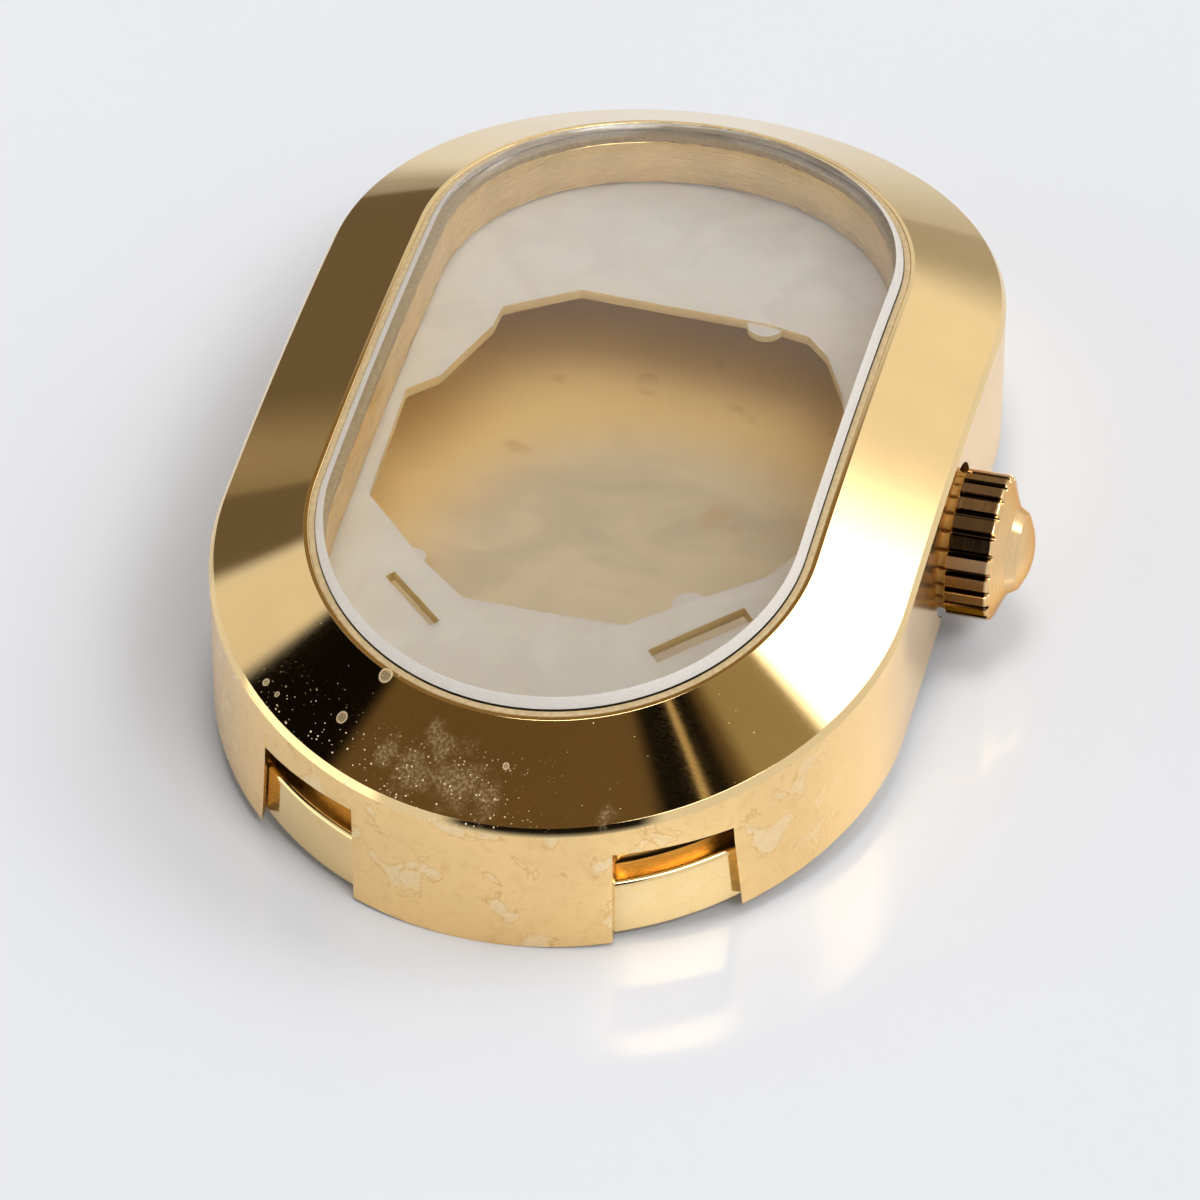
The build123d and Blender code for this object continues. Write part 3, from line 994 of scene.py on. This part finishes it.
class WATCHCASE_OT_back(bpy.types.Operator):
    """Models the pull-off back with its skirt"""
    bl_idname = "watch_case.back"
    bl_label = "Back"

    def execute(self, context):
        sizes = context.scene.watch_case_sizes
        crown = context.scene.watch_case_crown
        finishes = context.scene.watch_case_finishes
        outer = sizes.wall_sheet + sizes.skirt_gap
        inner = outer + sizes.skirt_thickness
        top = sizes.back_height + sizes.skirt_height
        plate = sizes.back_height + sizes.plate_thickness
        corners = [
            (sizes.half_width, sizes.back_height, 0.0),
            (outer, sizes.back_height, sizes.back_round),
            (outer, top, sizes.skirt_round),
            (inner, top, sizes.edge_round),
            (inner, plate, sizes.edge_round),
            (sizes.half_width, plate, 0.0),
        ]
        piece = oval_piece("case_back_cover", sizes, rounded(corners, 4), closed=False)
        gap = crown.key_half_width + sizes.wall_sheet / 6
        carve(piece, box_tool(
            "gap_tool", (sizes.half_width / 2 + sizes.skirt_height, -gap, plate + sizes.edge_round / 3),
            (sizes.half_width + sizes.wall_sheet, gap, sizes.rim_height)))
        cut_recess(piece, sizes, crown)
        tidy(piece)
        skirt = gold_material("gold_skirt", finishes.gold, finishes, 0.1, 0.2)
        outside = brushed_material("gold_back_outside", finishes.gold, 0.3, (0.5, 9.0, 0.5))
        inside = mottled_material("gold_back_inside", finishes.inside, finishes.amber, finishes.tide)

        def choose(centre, normal):
            if normal.z < -0.6:
                return 1
            if centre.z < plate + sizes.edge_round and normal.z > 0.6:
                return 2
            return 0

        paint(piece, [skirt, outside, inside], choose)
        smooth(piece)
        finish_piece(piece, "back", "back_gold", "case_back")
        return {"FINISHED"}


# Movement ring

# Plan of the ring in millimetres: corners of the hole, lugs with their radius, and slots with their
# turn in degrees, length and width.
HOLE_POINTS = [
    (-2.85, -8.01), (2.36, -8.01), (3.74, -6.93), (6.14, -5.08), (6.99, -3.7), (7.03, 2.0), (6.59, 3.54),
    (5.65, 5.47), (4.85, 6.31), (3.52, 6.62), (-2.8, 6.85), (-5.03, 5.31), (-5.07, 4.31), (-6.05, 1.46),
    (-6.94, 0.54), (-6.81, -4.39), (-4.45, -6.78),
]
LUGS = [(-4.8, -6.62, 0.4), (4.14, -6.73, 0.6), (3.34, 6.71, 0.6)]
LONG_SLOTS = [(-4.36, -8.39, -41.0, 2.49, 0.35), (4.74, -7.91, 43.0, 3.4, 0.6)]


class WATCHCASE_OT_movement_ring(bpy.types.Operator):
    """Models the moulded ring that holds the movement"""
    bl_idname = "watch_case.movement_ring"
    bl_label = "Movement ring"

    def execute(self, context):
        sizes = context.scene.watch_case_sizes
        ring = context.scene.watch_case_ring
        crown = context.scene.watch_case_crown
        outer = sizes.cavity_inset + ring.side_gap
        inner = outer + ring.wall_thickness
        low = sizes.back_height + sizes.plate_thickness
        top = sizes.ceiling_height
        web_foot = top - ring.web_thickness
        corners = [
            (sizes.half_width, web_foot, 0.0),
            (inner, web_foot, sizes.edge_round),
            (inner, low, sizes.edge_round),
            (outer, low, sizes.edge_round),
            (outer, top, ring.top_round),
            (sizes.half_width, top, 0.0),
        ]
        piece = oval_piece("movement_ring", sizes, rounded(corners, 4), closed=False)
        hole = rounded([(x * MM, y * MM, ring.hole_round) for x, y in HOLE_POINTS], 5)
        carve(piece, upright_tool("hole_tool", hole, -MM, sizes.rim_height))
        height = ring.web_thickness - 1.5 * ring.lug_drop
        for x, y, radius in LUGS:
            lug_top = top - ring.lug_drop + sag(sizes.rim_curve, y * MM)
            carve(piece, solid_tool(
                "lug", bpy.ops.mesh.primitive_cylinder_add, vertices=40, radius=radius * MM, depth=height,
                location=(x * MM, y * MM, lug_top - height / 2)), "UNION")
        for x, y, turn, slot_length, width in LONG_SLOTS:
            carve(piece, solid_tool(
                "slot_tool", bpy.ops.mesh.primitive_cube_add, size=1, location=(x * MM, y * MM, top),
                rotation=(0, 0, math.radians(turn)),
                scale=(slot_length * MM, width * MM, 3 * sizes.rim_height)))
        carve(piece, box_tool(
            "channel_tool", (0, -ring.channel_half, -MM),
            (sizes.half_width, ring.channel_half, crown.axis_height + ring.channel_half)))
        tidy(piece)
        finishes = context.scene.watch_case_finishes
        looks = [
            plastic_material("milky_plastic", finishes.plastic),
            plastic_material("amber_edges", finishes.gold_lit_plastic)]

        # Painted light and shade: upright faces of the openings get the darker amber of shade and light
        # bounced off the gold.
        def choose(centre, normal):
            upright = abs(normal.z) < 0.5
            return 1 if upright and inset_at(sizes, centre) > outer + ring.top_round else 0

        paint(piece, looks, choose)
        smooth(piece)
        finish_piece(piece, "case", "holder_plastic", "movement_holder")
        return {"FINISHED"}


# Crown

def barrel(start, end, radius, count):
    """Evenly spaced points along the barrel."""
    return [(start + (end - start) * number / count, radius) for number in range(1, count)]


def crown_section(crown, inner_x):
    """Half section of the crown as (x, radius), from its bore round the barrel and the boss to the tip."""
    rim = crown.flute_length
    lip = crown.flute_depth
    edge = lip / 3
    half_ring = crown.ring_width / 2
    ring_steps, lip_steps, cap_steps = 8, 6, 8
    groove_power = 0.7
    points = [
        (crown.bore_depth, 0.0), (crown.bore_depth, crown.bore_radius), (0.0, crown.bore_radius),
        (0.0, crown.radius - edge), (edge / 3, crown.radius - edge / 3), (edge, crown.radius)]
    points += barrel(edge, crown.ring_start - edge / 2, crown.radius, 5)
    for number in range(ring_steps + 1):
        turn = math.pi * number / ring_steps
        sunk = crown.ring_depth * math.sin(turn) ** groove_power
        points.append((crown.ring_start + half_ring - half_ring * math.cos(turn), crown.radius - sunk))
    points += barrel(crown.ring_start + crown.ring_width + edge / 2, rim - lip, crown.radius, 10)
    for number in range(lip_steps + 1):
        turn = math.pi / 2 * number / lip_steps
        points.append((rim - lip + lip * math.sin(turn), crown.radius - lip + lip * math.cos(turn)))
    points += [(rim + edge / 2, crown.dome_base), (rim + edge, crown.dome_base - edge)]
    cap_height = crown.dome_height - crown.cap_foot
    curve = (cap_height ** 2 + crown.cap_radius ** 2) / (2 * cap_height)
    cap = []
    for number in range(3, cap_steps + 1):
        radius = crown.cap_radius * (1 - number / cap_steps)
        cap.append((rim + crown.dome_height - curve + math.sqrt(curve ** 2 - radius ** 2), radius))
    boss = rounded([
        (*points[-1], 0.0), (rim + crown.boss_foot, crown.boss_radius, crown.boss_round),
        (rim + crown.cap_foot, crown.cap_radius, crown.boss_round), (*cap[0], 0.0), (rim, 0.0, 0.0)], 5)
    points += [tuple(point) for point in boss[1:-2]] + cap
    return [(inner_x + x, radius) for x, radius in points]


def flute_crown(piece, crown, inner_x):
    """Presses narrow flutes between flat ridges, which turn to beads in the ring groove."""
    half_turn = math.pi / crown.flutes
    for vertex in piece.data.vertices:
        y, z = vertex.co.y, vertex.co.z - crown.axis_height
        radius = math.hypot(y, z)
        if radius < crown.dome_base or vertex.co.x - inner_x > crown.flute_length + MERGE_GAP:
            continue
        phase = (math.atan2(z, y) / (2 * half_turn)) % 1.0
        from_groove = min(phase, 1 - phase)
        sunk = (crown.radius - radius) / crown.ring_depth
        in_ring = crown.ring_start < vertex.co.x - inner_x < crown.ring_start + crown.ring_width
        flat = crown.radius * math.cos(half_turn) / math.cos((1 - 2 * from_groove) * half_turn)
        groove = crown.flute_depth * math.sqrt(max(0.0, 1 - (from_groove / crown.groove_share) ** 2))
        target = min(radius, flat - groove)
        if in_ring:
            target -= crown.bead_depth * sunk * (1 - 2 * from_groove) ** 2
        vertex.co.y = y / radius * target
        vertex.co.z = crown.axis_height + z / radius * target


class WATCHCASE_OT_crown(bpy.types.Operator):
    """Models the fluted crown"""
    bl_idname = "watch_case.crown"
    bl_label = "Crown"

    def execute(self, context):
        sizes = context.scene.watch_case_sizes
        crown = context.scene.watch_case_crown
        inner_x = sizes.half_width - crown.recess_depth + crown.gap
        steps_per_flute, crease = 20, 40
        piece = lathe_piece(
            "fluted_crown", crown_section(crown, inner_x), crown.axis_height, crown.flutes * steps_per_flute)
        flute_crown(piece, crown, inner_x)
        piece.data.materials.append(
            crown_material("crown_gold", context.scene.watch_case_finishes, crown, inner_x))
        smooth(piece, crease)
        finish_piece(piece, "crown", "crown_gold", "crown")
        return {"FINISHED"}


# Inner pieces that keep their own solids

class WATCHCASE_OT_inner_pieces(bpy.types.Operator):
    """Gives the tube, stem, post, washer and gaskets their finishes"""
    bl_idname = "watch_case.inner_pieces"
    bl_label = "Inner pieces"

    def execute(self, context):
        finishes = context.scene.watch_case_finishes
        brass = turned_material("turned_brass", finishes.brass, 0.22)
        steel = turned_material("turned_steel", finishes.steel, 0.2)
        rubber = soft_material("gasket_rubber", finishes.rubber, 0.5, 7.0)
        looks = {
            "crown_tube": brass, "crown_washer": brass, "crown_post": brass, "stem": steel,
            "crown_gasket": rubber, "back_gasket": rubber}
        for name, material in looks.items():
            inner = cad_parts[name]
            inner.data.materials.clear()
            inner.data.materials.append(material)
        return {"FINISHED"}


class WATCHCASE_PT_panel(bpy.types.Panel):
    """Lists the steps of the watch case and its sizes"""
    bl_label = "Watch Case"
    bl_idname = "WATCHCASE_PT_panel"
    bl_space_type = "VIEW_3D"
    bl_region_type = "UI"
    bl_category = "Watch Case"

    def draw(self, context):
        for step in STEPS:
            self.layout.operator(step.bl_idname)
        for name, group in GROUPS.items():
            box = self.layout.box()
            for key in group.__annotations__:
                box.prop(getattr(context.scene, name), key)


STEPS = [
    WATCHCASE_OT_studio,
    WATCHCASE_OT_case_middle,
    WATCHCASE_OT_glass,
    WATCHCASE_OT_back,
    WATCHCASE_OT_movement_ring,
    WATCHCASE_OT_crown,
    WATCHCASE_OT_inner_pieces,
]
GROUPS = {
    "watch_case_sizes": CaseSizes,
    "watch_case_crown": CrownSizes,
    "watch_case_ring": RingSizes,
    "watch_case_finishes": Finishes,
    "watch_case_studio": StudioSettings,
}


def register():
    """Registers the add-on, each property labelled with its own name."""
    for name, group in GROUPS.items():
        for key, setting in group.__annotations__.items():
            setting.keywords["name"] = key.replace("_", " ").capitalize()
        bpy.utils.register_class(group)
        setattr(bpy.types.Scene, name, PointerProperty(type=group))
    for kind in [*STEPS, WATCHCASE_PT_panel]:
        bpy.utils.register_class(kind)


def unregister():
    for kind in [WATCHCASE_PT_panel, *reversed(STEPS)]:
        bpy.utils.unregister_class(kind)
    for name, group in GROUPS.items():
        delattr(bpy.types.Scene, name)
        bpy.utils.unregister_class(group)


def main():
    """Registers the add-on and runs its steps."""
    register()
    for step in STEPS:
        group, name = step.bl_idname.split(".")
        getattr(getattr(bpy.ops, group), name)()


if __name__ == "__main__":
    main()
